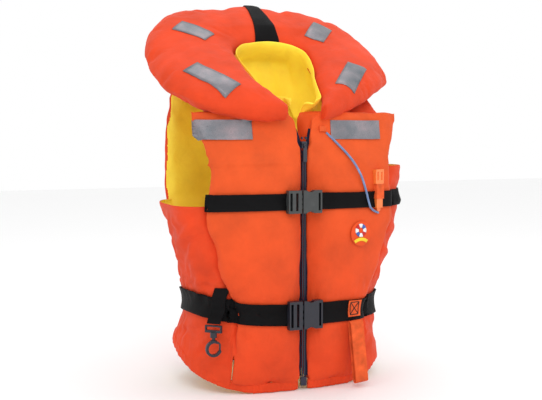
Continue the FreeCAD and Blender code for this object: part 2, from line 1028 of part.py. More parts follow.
stops = [
    block(f"zip_stop_{word}", "3", "3.2", "4", f"{sign} 3.6", "-Sizes.ZipPlane + 1.6", "Sizes.ZipClosed + 12")
    for word, sign in (("right", "-"), ("left", "+"))
]
stop_group = doc.addObject("Part::Compound", "zip_top_stops")
stop_group.Links = stops
keep(stop_group, "zip_top_stops")

PLATE_GAP = 1.6
REAR_PLATE = 4.6
plates = [
    block("slider_front", "10", "1.2", "12", "0", f"-Sizes.ZipPlane - {PLATE_GAP}", "Sizes.ZipClosed"),
    block("slider_rear", "10", "1.2", "12", "0", f"-Sizes.ZipPlane + {REAR_PLATE}", "Sizes.ZipClosed"),
]
post = block("slider_post", "1.2", "6", "3.5", "0", "-Sizes.ZipPlane + 4", "Sizes.ZipClosed + 4.2")
PIN_OUT = 5.2
lugs = [
    block(f"slider_lug_{word}", "1.3", "5", "4", f"{sign} 2.45", "-Sizes.ZipPlane - 2.4", "Sizes.ZipClosed")
    for word, sign in (("right", "-"), ("left", "+"))
]
pin_y = f"-Sizes.ZipPlane - {PIN_OUT}"
pivot = rod("slider_pivot", "0.8", "5", "-2.5", pin_y, "Sizes.ZipClosed", axis=(1, 0, 0))
keep(fuse("zip_slider", *plates, post, *lugs, pivot), "zip_slider")

hub = rod("pull_hub", "1.9", "2.8", "-1.4", pin_y, "Sizes.ZipClosed", axis=(1, 0, 0))
neck = block("pull_neck", "2.8", "1.6", "8", "0", f"-Sizes.ZipPlane - {PIN_OUT - 0.8}", "Sizes.ZipClosed - 4.5")
grip = block("pull_grip", "7", "1.8", "24", "0", f"-Sizes.ZipPlane - {PIN_OUT - 0.9}", "Sizes.ZipClosed - 18")
bore = rod("pull_bore", "0.88", "4", "-2", f"-Sizes.ZipPlane - {PIN_OUT}", "Sizes.ZipClosed", axis=(1, 0, 0))
keep(cut("zip_pull", fuse("pull_blank", hub, neck, grip), bore), "zip_pull")
keep(
    block("zip_box", "11", "5", "16", "0", "-Sizes.ZipPlane + 2.5", "Sizes.ZipBottom + 9"),
    "zip_box",
)

# ---------------------------------------------------------------- snap hook on its tab
HOOK_TURN = -43
tab_turn = FreeCAD.Rotation(Vector(0, 0, 1), HOOK_TURN)


def hook_place(x, y, z):
    """A point in the tab's own frame, whose -Y points away from the jacket and whose axis is the swivel's."""
    return Vector(size("HookX"), size("HookY"), 0) + tab_turn.multVec(Vector(x, y, 0)) + Vector(0, 0, z)


TAB_HALF = 12.5
TAB_THICK = 2
over_belt = BELT_LIFT + size("WebbingThick") + 1.5
sewn_rows = [
    (waist + 50, 1.5),
    (waist + 42, 1.5),
    (waist + 34, over_belt),
    (waist + 18, over_belt),
    (waist + 5, over_belt),
]
free_rows = [(waist - 5, 3.0), (waist - 11, 1.2)]
hook_angle = -math.degrees(math.atan2(-size("HookX"), widest_y(waist) - size("HookY")))


def tab_grid(extra):
    """One face of the tab: sewn rows follow the wall, and free rows hang to the swivel's eye."""
    across = (-TAB_HALF, 0, TAB_HALF)
    grid = [
        [body_point(hook_angle + math.degrees(x / 190), z, -lift - extra) for x in across]
        for z, lift in sewn_rows
    ]
    return grid + [[hook_place(x, y - extra, z) for x in across] for z, y in free_rows]


keep_shape(between(tab_grid(TAB_THICK), tab_grid(0)), "hook_tab")

HOOK_RING = "(Sizes.HookWidth / 2)"
RING_WALL = 4.5
hook_axis = ("Sizes.HookX", "Sizes.HookY")
ring_level = "Sizes.WaistBeltLevel - 55"
eye_frame = block("eye_frame", "31", "5", "13", "0", "2.5", "Sizes.WaistBeltLevel - 20")
eye_window = block("eye_window", "26", "7", "6", "0", "3.5", "Sizes.WaistBeltLevel - 19")
eye_neck = rod("eye_neck", "6", "10", "0", "0", "Sizes.WaistBeltLevel - 35")
eye_bore = rod("eye_bore", "3.08", "9", "0", "0", "Sizes.WaistBeltLevel - 36")
hook_eye = cut("hook_eye", fuse("eye_blank", eye_frame, eye_neck), eye_window, eye_bore)
hook_eye.Placement = FreeCAD.Placement(Vector(), tab_turn)
hook_eye.setExpression("Placement.Base.x", hook_axis[0])
hook_eye.setExpression("Placement.Base.y", hook_axis[1])
keep(hook_eye, "hook_eye")

ring = rod("hook_ring", HOOK_RING, "6", "0", "3", ring_level, axis=(0, -1, 0))
ring_hole = rod("hook_ring_hole", f"{HOOK_RING} - {RING_WALL}", "8", "0", "4", ring_level, axis=(0, -1, 0))
mouth = block("hook_mouth", "11", "8", "13", f"{HOOK_RING} - 3.25", "4", f"{ring_level} + 2")
shank = rod("hook_shank", "3", "9", "0", "0", "Sizes.WaistBeltLevel - 44.5")
shoulder = rod("hook_shoulder", "5.5", "4.5", "0", "0", "Sizes.WaistBeltLevel - 44.5")
boss_slot = block("hook_boss_slot", "8", "3.6", "7", f"{HOOK_RING} - 3", "1.8", f"{ring_level} - 6.5")
gate_pin = rod("hook_gate_pin", "0.9", "6", f"{HOOK_RING} - 3", "3", f"{ring_level} - 6.5", axis=(0, -1, 0))
hook_blank = fuse("hook_blank", ring, shank, shoulder)
hook_body = fuse("hook_body", cut("hook_open", hook_blank, ring_hole, mouth, boss_slot), gate_pin)
at(hook_body, *hook_axis, "0")
keep(hook_body, "hook_body")

gate_bar = block("gate_bar", "2.6", "3", "14.2", f"{HOOK_RING} - 3", "1.5", f"{ring_level} + 0.8")
gate_boss = rod("gate_boss", "2.2", "3", f"{HOOK_RING} - 3", "1.5", f"{ring_level} - 6.5", axis=(0, -1, 0))
gate_bore = rod("gate_bore", "0.97", "5", f"{HOOK_RING} - 3", "2.5", f"{ring_level} - 6.5", axis=(0, -1, 0))
hook_gate = cut("hook_gate", fuse("gate_blank", gate_bar, gate_boss), gate_bore)
at(hook_gate, *hook_axis, "0")
keep(hook_gate, "hook_gate")

# ---------------------------------------------------------------- lifting loop
loop_face = -(front_depth(waist - 40) + 4)
LOOP_LOW = 8
LOOP_SLANT = -6


def stadium(name, deep, low, high, wide):
    """An upright round-ended block: deep along Y, wide along X."""
    radius = f"({deep}) / 2"
    middle_high = f"({high}) - ({low}) - ({deep})"
    middle = block(name + "_middle", wide, deep, middle_high, "0", radius, f"(({low}) + ({high})) / 2")
    ends = [
        rod(name + word, radius, wide, f"-({wide}) / 2", "0", place, axis=(1, 0, 0))
        for word, place in (("_low", f"({low}) + {radius}"), ("_high", f"({high}) - {radius}"))
    ]
    return fuse(name, middle, *ends)


loop_outer = stadium(
    "loop_outer",
    "Sizes.LoopGap + 2 * Sizes.WebbingThick",
    f"{LOOP_LOW} - Sizes.WaistBeltLevel + 20",
    "3",
    "Sizes.LoopWebbing",
)
loop_inner = stadium(
    "loop_inner",
    "Sizes.LoopGap",
    f"{LOOP_LOW} - Sizes.WaistBeltLevel + 20 + Sizes.WebbingThick",
    "3 - Sizes.WebbingThick",
    "Sizes.LoopWebbing + 4",
)
lifting_loop = cut("lifting_loop", loop_outer, loop_inner)
lifting_loop.Placement = FreeCAD.Placement(Vector(), FreeCAD.Rotation(Vector(0, 1, 0), LOOP_SLANT))
half_loop = size("LoopGap") / 2 + size("WebbingThick")
sheet.set("D3", "LoopFace")
sheet.set("E3", str(round(loop_face - half_loop, 3)))
sheet.setAlias("E3", "LoopFace")
at(lifting_loop, "Sizes.LoopX", "Sizes.LoopFace", "Sizes.WaistBeltLevel - 20")
keep(lifting_loop, "lifting_loop")

keep_shape(
    band(
        x_angle(size("LoopX") - size("LoopWebbing") / 2),
        x_angle(size("LoopX") + size("LoopWebbing") / 2),
        waist - 13,
        waist + 19,
        BELT_LIFT + size("WebbingThick") + gap,
        size("WebbingThick"),
        columns=5,
    ),
    "loop_anchor",
)

# ---------------------------------------------------------------- whistle, holder and cord
WHISTLE_LIFT = 5.6
HOLDER_WALL = 1.2
whistle_frame = wall_frame(size("WhistleX"), chest, WHISTLE_LIFT)
barrel = block("whistle_barrel", "Sizes.WhistleWidth - 5", "Sizes.WhistleThick", "Sizes.WhistleLength", "0", "0",
               "Sizes.WhistleZ + Sizes.WhistleLength / 2")
head = block("whistle_head", "Sizes.WhistleWidth", "Sizes.WhistleThick", "26", "0", "0",
             "Sizes.WhistleZ + Sizes.WhistleLength - 13")
lug = rod("whistle_lug", "4.5", "4", "0", "-Sizes.WhistleThick / 2 + 2", "Sizes.WhistleZ - 2", axis=(0, -1, 0))
windows = [
    block(f"whistle_window_{word}", "2.6", "3", "15", f"{sign} 4.6", "-Sizes.WhistleThick + 2",
          "Sizes.WhistleZ + Sizes.WhistleLength - 12")
    for word, sign in (("right", "-"), ("left", "+"))
]
airway = block("whistle_airway", "9", "3", "30", "0", "-2.5", "Sizes.WhistleZ + Sizes.WhistleLength")
whistle = cut("whistle", fuse("whistle_blank", barrel, head, lug), *windows, airway)
whistle.Placement = whistle_frame.multiply(FreeCAD.Placement(Vector(0, 0, -chest), FreeCAD.Rotation()))
keep(whistle, "whistle")

HOLDER_CLEAR = 0.5
barrel_wide = "Sizes.WhistleWidth - 5"
sleeve = block("holder_sleeve", f"{barrel_wide} + {2 * (HOLDER_CLEAR + HOLDER_WALL)}",
               f"Sizes.WhistleThick + {2 * (HOLDER_CLEAR + HOLDER_WALL)}", "26", "0",
               f"{HOLDER_CLEAR + HOLDER_WALL}", "Sizes.ChestBeltLevel + 14")
hole_deep = f"Sizes.WhistleThick + {2 * HOLDER_CLEAR}"
sleeve_hole = block("holder_hole", f"{barrel_wide} + {2 * HOLDER_CLEAR}", hole_deep, "30", "0", str(HOLDER_CLEAR),
                    "Sizes.ChestBeltLevel + 14")
holder = cut("whistle_holder", sleeve, sleeve_hole)
holder.Placement = whistle.Placement
keep(holder, "whistle_holder")

badge = doc.addObject("Part::Cylinder", "badge_patch")
bind(badge, Radius="Sizes.BadgeDiameter / 2")
badge.Height = 1.2
badge.Placement = wall_frame(size("BadgeX"), size("BadgeZ"), PATCH_LIFT).multiply(
    FreeCAD.Placement(Vector(), FreeCAD.Rotation(Vector(1, 0, 0), 90))
)
keep(badge, "badge_patch")

ANCHOR_LIFT = 1.2
CORD_POINTS = [
    (42, -131, 463),
    (60, -139, 444),
    (84, -149, 417),
    (102, -152, 388),
    (113, -151, 358),
    (119, -149, 338),
    (125, -149, 322),
    (141, -146, 317),
]


def cord_path(points):
    """Straight runs joined by tangent arcs, each as large as its two runs allow."""
    spots = [Vector(*p) for p in points]
    edges = []
    start = spots[0]
    for before, here, after in zip(spots, spots[1:], spots[2:]):
        back = (before - here).normalize()
        on = (after - here).normalize()
        turn = math.pi - back.getAngle(on)
        run = 0.45 * min((before - here).Length, (after - here).Length)
        radius = run / math.tan(turn / 2)
        print(f"cord turn {math.degrees(turn):.0f} degrees, radius {radius:.1f}")
        first = here + back * run
        last = here + on * run
        bisector = (back + on).normalize()
        centre = here + bisector * (radius / math.cos(turn / 2))
        middle = centre - bisector * radius
        edges.append(Part.LineSegment(start, first).toShape())
        edges.append(Part.Arc(first, middle, last).toShape())
        start = last
    edges.append(Part.LineSegment(start, spots[-1]).toShape())
    return Part.Wire(edges)


path = cord_path(CORD_POINTS)
direction = Vector(*CORD_POINTS[1]) - Vector(*CORD_POINTS[0])
section = Part.Wire([Part.Circle(Vector(*CORD_POINTS[0]), direction, size("CordDiameter") / 2).toShape()])
cord = path.makePipeShell([section], True, True)
full_volume = path.Length * section.Length ** 2 / 4 / math.pi
print(f"cord length {path.Length:.0f}, volume share {cord.Volume / full_volume:.3f}")
keep_shape(cord, "whistle_cord")
anchor = doc.addObject("Part::Box", "cord_anchor")
anchor.Length = 12
anchor.Width = 4
anchor.Height = 9
anchor.Placement = wall_frame(34, size("ZipTop") - 6, ANCHOR_LIFT).multiply(
    FreeCAD.Placement(Vector(-6, -4, 0), FreeCAD.Rotation())
)
keep(anchor, "cord_anchor")

# ---------------------------------------------------------------- check and write
doc.recompute()
for obj in doc.Objects:
    if "Invalid" in obj.State or "Error" in obj.State:
        raise RuntimeError(f"{obj.Name} did not build: {obj.State}")
os.makedirs("parts", exist_ok=True)
for obj in subparts:
    shape = obj.Shape
    if shape.isNull() or not shape.isValid() or not shape.Solids:
        raise RuntimeError(f"{obj.Label} is not a valid solid")
    shape.exportStep(f"parts/{obj.Label}.step")
print(f"{len(subparts)} sub-parts written")
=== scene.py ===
import math

import bmesh
import bpy
import numpy as np
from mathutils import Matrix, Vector
from mathutils.bvhtree import BVHTree


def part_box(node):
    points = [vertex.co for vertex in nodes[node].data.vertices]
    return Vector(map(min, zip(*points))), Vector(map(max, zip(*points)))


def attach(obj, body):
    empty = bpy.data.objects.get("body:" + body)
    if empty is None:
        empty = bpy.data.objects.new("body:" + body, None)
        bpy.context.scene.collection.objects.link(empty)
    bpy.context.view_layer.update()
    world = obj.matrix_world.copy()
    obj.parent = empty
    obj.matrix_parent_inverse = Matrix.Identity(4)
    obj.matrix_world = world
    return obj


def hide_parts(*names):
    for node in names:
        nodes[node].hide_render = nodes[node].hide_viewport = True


# Foam life jacket. Metres, +Z up, the front faces -Y and the wearer's right is -X.

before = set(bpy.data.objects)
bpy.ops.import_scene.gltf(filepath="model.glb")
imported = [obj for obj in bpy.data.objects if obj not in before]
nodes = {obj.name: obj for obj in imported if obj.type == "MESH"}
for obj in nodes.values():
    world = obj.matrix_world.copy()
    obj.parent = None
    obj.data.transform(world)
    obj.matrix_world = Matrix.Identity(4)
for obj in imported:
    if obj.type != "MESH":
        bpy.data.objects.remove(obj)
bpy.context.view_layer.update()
MM = 0.001
ROOT = "jacket"


# ---------------------------------------------------------------- shader helpers
def new_material(name):
    material = bpy.data.materials.new(name)
    material.use_nodes = True
    tree = material.node_tree
    return material, tree, tree.nodes["Principled BSDF"]


def put(tree, socket, value):
    """Links a node's output to a socket, or sets the socket to a value."""
    if isinstance(value, bpy.types.NodeSocket):
        tree.links.new(value, socket)
    else:
        socket.default_value = value


def add(tree, kind, **inputs):
    """A shader node with its inputs set by name."""
    node = tree.nodes.new(kind)
    for key, value in inputs.items():
        put(tree, node.inputs[key.replace("_", " ")], value)
    return node


def wave(tree, where, direction, period):
    """Even ribs across one axis, with their period in metres."""
    node = add(tree, "ShaderNodeTexWave", Vector=where, Scale=0.314 / period, Distortion=0.0)
    node.bands_direction = direction
    return node.outputs["Fac"]


def join(tree, operation, first, second):
    node = tree.nodes.new("ShaderNodeMath")
    node.operation = operation
    for socket, value in zip(node.inputs, (first, second)):
        put(tree, socket, value)
    return node.outputs[0]


def ramp(tree, factor, stops):
    """A colour ramp from (position, colour) stops."""
    node = add(tree, "ShaderNodeValToRGB", Fac=factor)
    elements = node.color_ramp.elements
    while len(elements) < len(stops):
        elements.new(0.5)
    for element, (position, colour) in zip(elements, stops):
        element.position = position
        element.color = (*colour, 1)
    return node.outputs["Color"]


def shade(colour, factor):
    return tuple(min(1.0, c * factor) for c in colour)


def bump(tree, height, strength, distance, under=None):
    inputs = {"Height": height, "Strength": strength, "Distance": distance}
    if under is not None:
        inputs["Normal"] = under
    return add(tree, "ShaderNodeBump", **inputs).outputs["Normal"]


def mixed(tree, factor, first, second, blend="MIX"):
    """Two colours mixed. The node has sockets of the same name for numbers and vectors, which are off."""
    node = tree.nodes.new("ShaderNodeMix")
    node.data_type = "RGBA"
    node.blend_type = blend
    for key, value in (("Factor", factor), ("A", first), ("B", second)):
        put(tree, next(s for s in node.inputs if s.name == key and s.enabled), value)
    return next(s for s in node.outputs if s.enabled)


def cloth_material(
    name, colour, upper=None, weave=0.9 * MM, roughness=0.72, sheen=0.04, crease=1.0, glow=0.0
):
    """Woven nylon: two ribs across each other, soft creases and a slow change of colour. upper is a lighter
    colour painted towards the chest, painted light that stands for how the light falls there,
    and glow is a painted glow: emission that brightens the cloth as if light came through it."""
    material, tree, shader = new_material(name)
    where = add(tree, "ShaderNodeTexCoord").outputs["Object"]
    slow = add(tree, "ShaderNodeTexNoise", Vector=where, Scale=14.0, Detail=5.0, Roughness=0.6).outputs["Fac"]
    cloth = ramp(tree, slow, [(0.3, shade(colour, 0.86)), (0.5, colour), (0.72, shade(colour, 1.12))])
    # Painted light: towards the chest the cloth blends to the lighter upper colour, a painted lighter top for
    # how the light falls.
    if upper is not None:
        lit_top_cloth = ramp(tree, slow, [(0.3, shade(upper, 0.86)), (0.5, upper), (0.72, shade(upper, 1.12))])
        height = add(tree, "ShaderNodeSeparateXYZ", Vector=where).outputs["Z"]
        share = add(tree, "ShaderNodeMapRange", Value=height, From_Min=0.06, From_Max=0.42).outputs["Result"]
        cloth = mixed(tree, share, cloth, lit_top_cloth)
    tree.links.new(cloth, shader.inputs["Base Color"])
    # Painted light: the cloth emits its own colour, a painted glow that brightens it where it lies in shade.
    if glow:
        tree.links.new(cloth, shader.inputs["Emission Color"])
        shader.inputs["Emission Strength"].default_value = glow
    ribs = join(tree, "MULTIPLY", wave(tree, where, "X", weave), wave(tree, where, "Z", weave))
    folds = add(tree, "ShaderNodeTexNoise", Vector=where, Scale=46.0, Detail=4.0, Roughness=0.55)
    folds.inputs["Distortion"].default_value = 0.8
    normal = bump(tree, folds.outputs["Fac"], 0.35 * crease, 3 * MM)
    normal = bump(tree, ribs, 0.3, 0.3 * MM, normal)
    tree.links.new(normal, shader.inputs["Normal"])
    shader.inputs["Roughness"].default_value = roughness
    shader.inputs["Specular IOR Level"].default_value = 0.3
    shader.inputs["Sheen Weight"].default_value = sheen
    shader.inputs["Sheen Roughness"].default_value = 0.4
    return material


def webbing_material(name, colour, rib=2.2 * MM, roughness=0.62):
    """Woven webbing: slanted ribs with a fine cross weave."""
    material, tree, shader = new_material(name)
    where = add(tree, "ShaderNodeTexCoord").outputs["Object"]
    slow = add(tree, "ShaderNodeTexNoise", Vector=where, Scale=60.0, Detail=6.0).outputs["Fac"]
    tree.links.new(
        ramp(tree, slow, [(0.3, shade(colour, 0.7)), (0.6, colour), (0.85, shade(colour, 1.5))]),
        shader.inputs["Base Color"],
    )
    ribs = join(tree, "MULTIPLY", wave(tree, where, "Z", rib), wave(tree, where, "X", 0.8 * MM))
    tree.links.new(bump(tree, ribs, 0.6, 0.5 * MM), shader.inputs["Normal"])
    shader.inputs["Roughness"].default_value = roughness
    shader.inputs["Specular IOR Level"].default_value = 0.12
    return material


def plastic_material(name, colour, roughness=0.42, grain=0.35 * MM, wear=1.35, coat=0.0):
    """Moulded plastic: a fine grain, a little colour variation and uneven gloss."""
    material, tree, shader = new_material(name)
    where = add(tree, "ShaderNodeTexCoord").outputs["Object"]
    slow = add(tree, "ShaderNodeTexNoise", Vector=where, Scale=70.0, Detail=5.0).outputs["Fac"]
    tree.links.new(
        ramp(tree, slow, [(0.35, shade(colour, 0.88)), (0.6, colour), (0.8, shade(colour, wear))]),
        shader.inputs["Base Color"],
    )
    gloss = add(tree, "ShaderNodeMapRange", Value=slow, To_Min=roughness - 0.06, To_Max=roughness + 0.1)
    tree.links.new(gloss.outputs["Result"], shader.inputs["Roughness"])
    fine = add(tree, "ShaderNodeTexNoise", Vector=where, Scale=0.5 / grain, Detail=2.0).outputs["Fac"]
    tree.links.new(bump(tree, fine, 0.12, 0.2 * MM), shader.inputs["Normal"])
    shader.inputs["Coat Weight"].default_value = coat
    shader.inputs["Coat Roughness"].default_value = 0.15
    return material


def reflective_material():
    """Retroreflective tape: pale grey with a fine net of cells and a faint warm tint."""
    material, tree, shader = new_material("reflective")
    where = add(tree, "ShaderNodeTexCoord").outputs["Object"]
    slow = add(tree, "ShaderNodeTexNoise", Vector=where, Scale=26.0, Detail=3.0).outputs["Fac"]
    stops = [(0.3, (0.13, 0.15, 0.17)), (0.55, (0.22, 0.21, 0.23)), (0.75, (0.34, 0.27, 0.29))]
    tint = ramp(tree, slow, stops)
    cells = add(tree, "ShaderNodeTexVoronoi", Vector=where, Scale=420.0)
    cells.feature = "DISTANCE_TO_EDGE"
    edge = cells.outputs["Distance"]
    line = add(tree, "ShaderNodeMapRange", Value=edge, From_Max=0.12, To_Min=0.75, To_Max=1.0)
    netted = mixed(tree, 1.0, tint, line.outputs["Result"], blend="MULTIPLY")
    tree.links.new(netted, shader.inputs["Base Color"])
    tree.links.new(bump(tree, cells.outputs["Distance"], 0.25, 0.3 * MM), shader.inputs["Normal"])
    shader.inputs["Roughness"].default_value = 0.38
    shader.inputs["Metallic"].default_value = 0.35
    return material


ORANGE = (0.7, 0.05, 0.006)
YELLOW = (0.93, 0.7, 0.05)
# PANEL_LOW and the lighter top colour are one orange shaded and lit: painted light, blended by height.
PANEL_LOW = (0.7, 0.056, 0.008)
PANEL_TOP_PAINTED_LIGHT = (0.72, 0.085, 0.011)
BLACK = (0.0028, 0.0025, 0.003)
NAVY = (0.012, 0.014, 0.035)

orange = cloth_material("orange_nylon", ORANGE)
panel_orange = cloth_material("panel_nylon", PANEL_LOW, upper=PANEL_TOP_PAINTED_LIGHT)
yellow = cloth_material("yellow_lining", YELLOW, roughness=0.6)
# The neck lining is given a painted glow, an emission that brightens it in the shade inside the neck.
painted_glow_yellow = cloth_material("neck_lining", YELLOW, roughness=0.6, glow=0.16)
black = webbing_material("black_webbing", BLACK)
loop_orange = webbing_material("orange_webbing", (0.85, 0.12, 0.03))
navy = webbing_material("zip_tape", NAVY, rib=1.1 * MM)
teeth_plastic = plastic_material("zip_teeth", (0.016, 0.018, 0.04), roughness=0.35)
zip_metal = plastic_material("zip_metal", (0.02, 0.022, 0.035), roughness=0.3, coat=0.3)
grey_plastic = plastic_material("grey_plastic", (0.044, 0.048, 0.048), roughness=0.4)
dark_plastic = plastic_material("dark_plastic", (0.014, 0.015, 0.024), roughness=0.38)
whistle_plastic = plastic_material("whistle_plastic", (0.93, 0.2, 0.035), roughness=0.3, wear=1.08, coat=0.4)
reflective = reflective_material()
THREADS = {
    "orange": (0.74, 0.075, 0.01),
    "dark": (0.03, 0.012, 0.01),
    "yellow": (0.9, 0.62, 0.03),
    "white": (0.8, 0.8, 0.8),
    "red": (0.55, 0.02, 0.02),
    "blue": (0.06, 0.12, 0.4),
}
threads = {
    name: cloth_material(f"{name}_thread", colour, weave=0.6 * MM, crease=0.2)
    for name, colour in THREADS.items()
}
cord_blue = webbing_material("blue_cord", (0.2, 0.29, 0.5), rib=1.3 * MM)


# ---------------------------------------------------------------- mesh helpers
def new_object(name, mesh):
    obj = bpy.data.objects.new(name, mesh)
    bpy.context.scene.collection.objects.link(obj)
    return obj


def polygon_object(name, points, faces, materials=()):
    mesh = bpy.data.meshes.new(name)
    mesh.from_pydata([tuple(p) for p in points], [], faces)
    mesh.validate()
    for material in materials:
        mesh.materials.append(material)
    mesh.shade_smooth()
    return new_object(name, mesh)


def bake(obj):
    """Applies the modifiers of an object to its own mesh."""
    shown = obj.evaluated_get(bpy.context.evaluated_depsgraph_get())
    mesh = bpy.data.meshes.new_from_object(shown)
    obj.modifiers.clear()
    old = obj.data
    obj.data = mesh
    bpy.data.meshes.remove(old)
    mesh.shade_smooth()
    return obj


def positions(mesh):
    flat = np.empty(3 * len(mesh.vertices))
    mesh.vertices.foreach_get("co", flat)
    return flat.reshape(-1, 3)


def normals(mesh):
    flat = np.empty(3 * len(mesh.vertices))
    mesh.vertex_normals.foreach_get("vector", flat)
    return flat.reshape(-1, 3)


def move(obj, offsets):
    mesh = obj.data
    mesh.vertices.foreach_set("co", (positions(mesh) + offsets).ravel())
    mesh.update()


def gathered(name, parts, cell, grow=0.0):
    """One closed mesh of even cells around CAD solids. Layers closer than twice grow become one."""
    form = bmesh.new()
    for part in parts:
        form.from_mesh(nodes[part].data)
    bmesh.ops.remove_doubles(form, verts=form.verts, dist=1e-6)
    mesh = bpy.data.meshes.new(name)
    form.to_mesh(mesh)
    form.free()
    obj = new_object(name, mesh)
    if grow:
        swollen = obj.modifiers.new("swollen", "DISPLACE")
        swollen.strength = grow
        swollen.mid_level = 0
    cells = obj.modifiers.new("cells", "REMESH")
    cells.mode = "VOXEL"
    cells.voxel_size = cell
    cells.adaptivity = 0
    bake(obj)
    keep_largest(obj)
    if grow:
        smoothed(obj, 2)
        move(obj, -grow * normals(obj.data))
    return obj


def keep_largest(obj):
    """Deletes closed pockets left between layers."""
    form = bmesh.new()
    form.from_mesh(obj.data)
    form.verts.ensure_lookup_table()
    seen = set()
    islands = []
    for start in form.verts:
        if start in seen:
            continue
        island = [start]
        seen.add(start)
        for vert in island:
            for edge in vert.link_edges:
                other = edge.other_vert(vert)
                if other not in seen:
                    seen.add(other)
                    island.append(other)
        islands.append(island)
    islands.sort(key=len)
    for island in islands[:-1]:
        bmesh.ops.delete(form, geom=island, context="VERTS")
    form.to_mesh(obj.data)
    form.free()


def smoothed(obj, rounds, factor=0.5):
    soft = obj.modifiers.new("soft", "SMOOTH")
    soft.iterations = rounds
    soft.factor = factor
    return bake(obj)


def noise(points, period, seed, waves=7):
    """Smooth noise between about -1 and 1: a few sine waves in random directions."""
    rng = np.random.default_rng(seed)
    total = np.zeros(len(points))
    for _ in range(waves):
        direction = rng.normal(size=3)
        direction /= np.linalg.norm(direction)
        k = 2 * math.pi / (period * rng.uniform(0.75, 1.3))
        total += np.sin(points @ direction * k + rng.uniform(0, 2 * math.pi))
    return total / math.sqrt(waves)


def ease(x):
    x = np.clip(x, 0.0, 1.0)
    return x * x * (3 - 2 * x)


def hump(x, centre, spread):
    return np.exp(-(((x - centre) / spread) ** 2))


def tree_of(*objects):
    """A search tree over what these objects show."""
    form = bmesh.new()
    graph = bpy.context.evaluated_depsgraph_get()
    for obj in objects:
        shown = obj.evaluated_get(graph)
        mesh = shown.to_mesh()
        form.from_mesh(mesh)
        shown.to_mesh_clear()
    tree = BVHTree.FromBMesh(form)
    form.free()
    return tree


def inflate(obj, pressure, looseness, frames, most):
    """Blows a closed mesh up as cloth. looseness is the spare cloth, and no point moves further than most."""
    before = positions(obj.data)
    cloth = obj.modifiers.new("cloth", "CLOTH")
    settings = cloth.settings
    settings.use_pressure = True
    settings.uniform_pressure_force = pressure
    settings.effector_weights.gravity = 0
    settings.quality = 5
    settings.mass = 0.3
    settings.tension_stiffness = 20
    settings.compression_stiffness = 20
    settings.bending_stiffness = 0.3
    settings.shrink_min = -looseness
    cloth.collision_settings.use_collision = False
    cloth.point_cache.frame_start = 1
    cloth.point_cache.frame_end = frames
    for step in range(1, frames + 1):
        bpy.context.scene.frame_set(step)
    shown = obj.evaluated_get(bpy.context.evaluated_depsgraph_get())
    mesh = shown.to_mesh()
    after = positions(mesh)
    shown.to_mesh_clear()
    obj.modifiers.clear()
    bpy.context.scene.frame_set(1)
    step = after - before
    length = np.linalg.norm(step, axis=1, keepdims=True)
    step *= np.minimum(1.0, most / np.maximum(length, 1e-9))
    move(obj, step)


# ---------------------------------------------------------------- the soft panels
def finish_soft(obj, *parts, fill=0.7, material=orange, inside=None, limit=0.42, cloth_slot="orange_cloth"):
    """Rides on the root, stands for its CAD solids and takes its cloth."""
    if material is not None:
        finer = obj.modifiers.new("finer", "SUBSURF")
        finer.levels = finer.render_levels = 1
        bake(obj)
        obj.data.materials.clear()
        obj.data.materials.append(material)
        if inside is not None:
            obj.data.materials.append(inside)
            paint_inside(obj, limit)
    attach(obj, ROOT)
    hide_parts(*parts)
    return obj


BODY_CENTRE = Vector((0, -25 * MM, 0))
BORDER_ROUNDS = 24


def paint_inside(obj, limit):
    """Gives the lining's material to the faces that look at the wearer, with an even border."""
    mesh = obj.data
    inward = -np.sum(normals(mesh) * radial(positions(mesh)), axis=1)
    ends = np.empty(2 * len(mesh.edges), dtype=int)
    mesh.edges.foreach_get("vertices", ends)
    first, second = ends.reshape(-1, 2).T
    count = np.bincount(ends, minlength=len(inward))
    for _ in range(BORDER_ROUNDS):
        total = np.bincount(first, inward[second], len(inward))
        total += np.bincount(second, inward[first], len(inward))
        inward = 0.5 * inward + 0.5 * total / count
    for face in mesh.polygons:
        if inward[list(face.vertices)].mean() > limit:
            face.material_index = 1


def radial(points):
    """Unit vectors that point away from the wearer, level."""
    away = points - np.array(BODY_CENTRE)
    away[:, 2] = 0
    return away / np.maximum(np.linalg.norm(away, axis=1, keepdims=True), 1e-9)


WAIST_Z = sum(c[2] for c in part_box("waist_buckle_female")) / 2
CHEST_Z = sum(c[2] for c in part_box("chest_buckle_female")) / 2
POCKET_Z = CHEST_Z + 68 * MM


def panel_shape(points, side, seed):
    """How far a front panel's cloth stands out from the even pillow, along its normals."""
    x, z = points[:, 0] * side, points[:, 2]
    out = 1.1 * MM * noise(points, 95 * MM, seed) + 0.5 * MM * noise(points, 34 * MM, seed + 1)
    out -= 2.6 * MM * hump(z, WAIST_Z, 22 * MM) + 1.8 * MM * hump(z, CHEST_Z, 17 * MM)
    puckers = np.sin(points[:, 0] / MM * 0.55 + 2.0 * noise(points, 50 * MM, seed + 2))
    near_belts = hump(z, WAIST_Z + 30 * MM, 16 * MM) + hump(z, WAIST_Z - 30 * MM, 16 * MM)
    out += 0.7 * MM * puckers * near_belts
    low = np.min(z)
    out += 0.9 * MM * puckers * hump(z, low + 8 * MM, 16 * MM)
    if side < 0:
        across = ease((x - 20 * MM) / (25 * MM))
        out += across * (1.6 * MM * hump(z, POCKET_Z, 3 * MM) - 1.3 * MM * hump(z, POCKET_Z - 8 * MM, 4 * MM))
    return out


LAYER_REACH = 3.4 * MM
TOP_TUCK = 13 * MM


def front_panel(name, side, seed):
    parts = [f"front_cover_{name}", f"front_foam_{name}", f"lining_front_{name}"]
    obj = gathered(f"panel_front_{name}", parts, 5 * MM, LAYER_REACH)
    smoothed(obj, 3)
    inflate(obj, 3.0, 0.02, 14, 6 * MM)
    points = positions(obj.data)
    shift = normals(obj.data) * panel_shape(points, side, seed)[:, None]
    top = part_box(f"front_cover_{name}")[1][2]
    shift[:, 2] += TOP_TUCK * ease((points[:, 2] - top + 3 * TOP_TUCK) / (3 * TOP_TUCK))
    move(obj, shift)
    return finish_soft(obj, *parts, material=panel_orange, inside=yellow)


